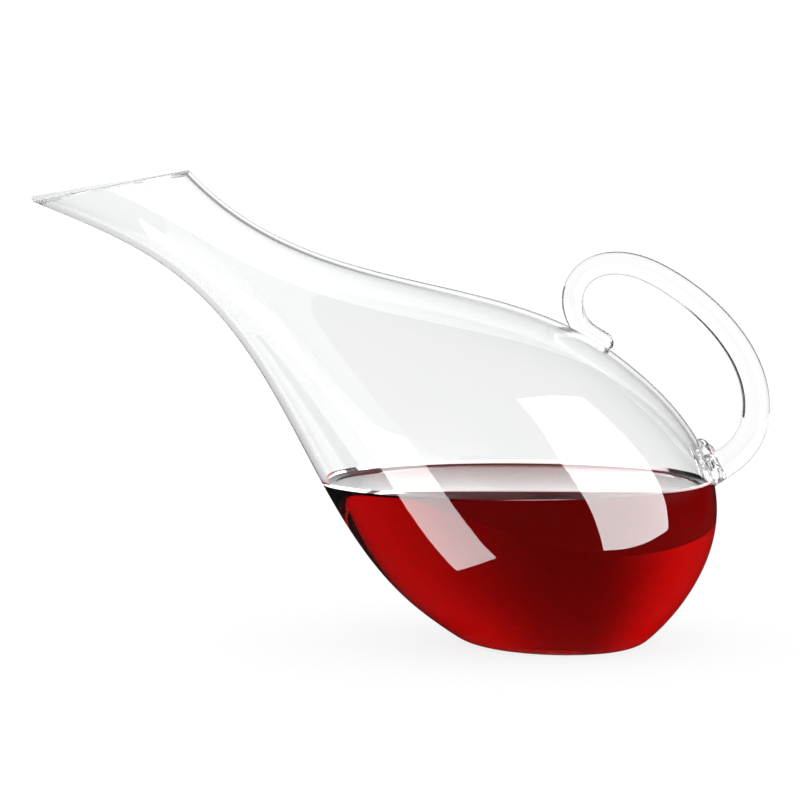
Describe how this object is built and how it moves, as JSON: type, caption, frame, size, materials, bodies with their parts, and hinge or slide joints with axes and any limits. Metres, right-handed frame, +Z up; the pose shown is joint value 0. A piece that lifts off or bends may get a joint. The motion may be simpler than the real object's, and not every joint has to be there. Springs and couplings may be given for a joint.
{
  "type": "wine decanter",
  "caption": "Slanted blown-glass decanter with a flared oblique spout, a looped rod handle, a flat pressed foot and red wine inside, for airing and pouring wine",
  "frame": {"origin": "centre of the flat foot, on the surface that the decanter stands on", "axes": "+Z up; +X from the spout towards the handle; Y across, and XZ is the plane of symmetry"},
  "size_m": [0.3041, 0.134, 0.1961],
  "materials": {
    "clear_glass": "polished clear blown glass",
    "rod_glass": "polished clear solid glass rod",
    "red_wine": "clear red liquid"
  },
  "bodies": {
    "root": {"bulb": "clear_glass", "shoulder": "clear_glass", "neck": "clear_glass", "handle": "rod_glass", "handle_root_seal": "rod_glass", "handle_tail_seal": "rod_glass", "wine": "red_wine"}
  },
  "joints": []
}
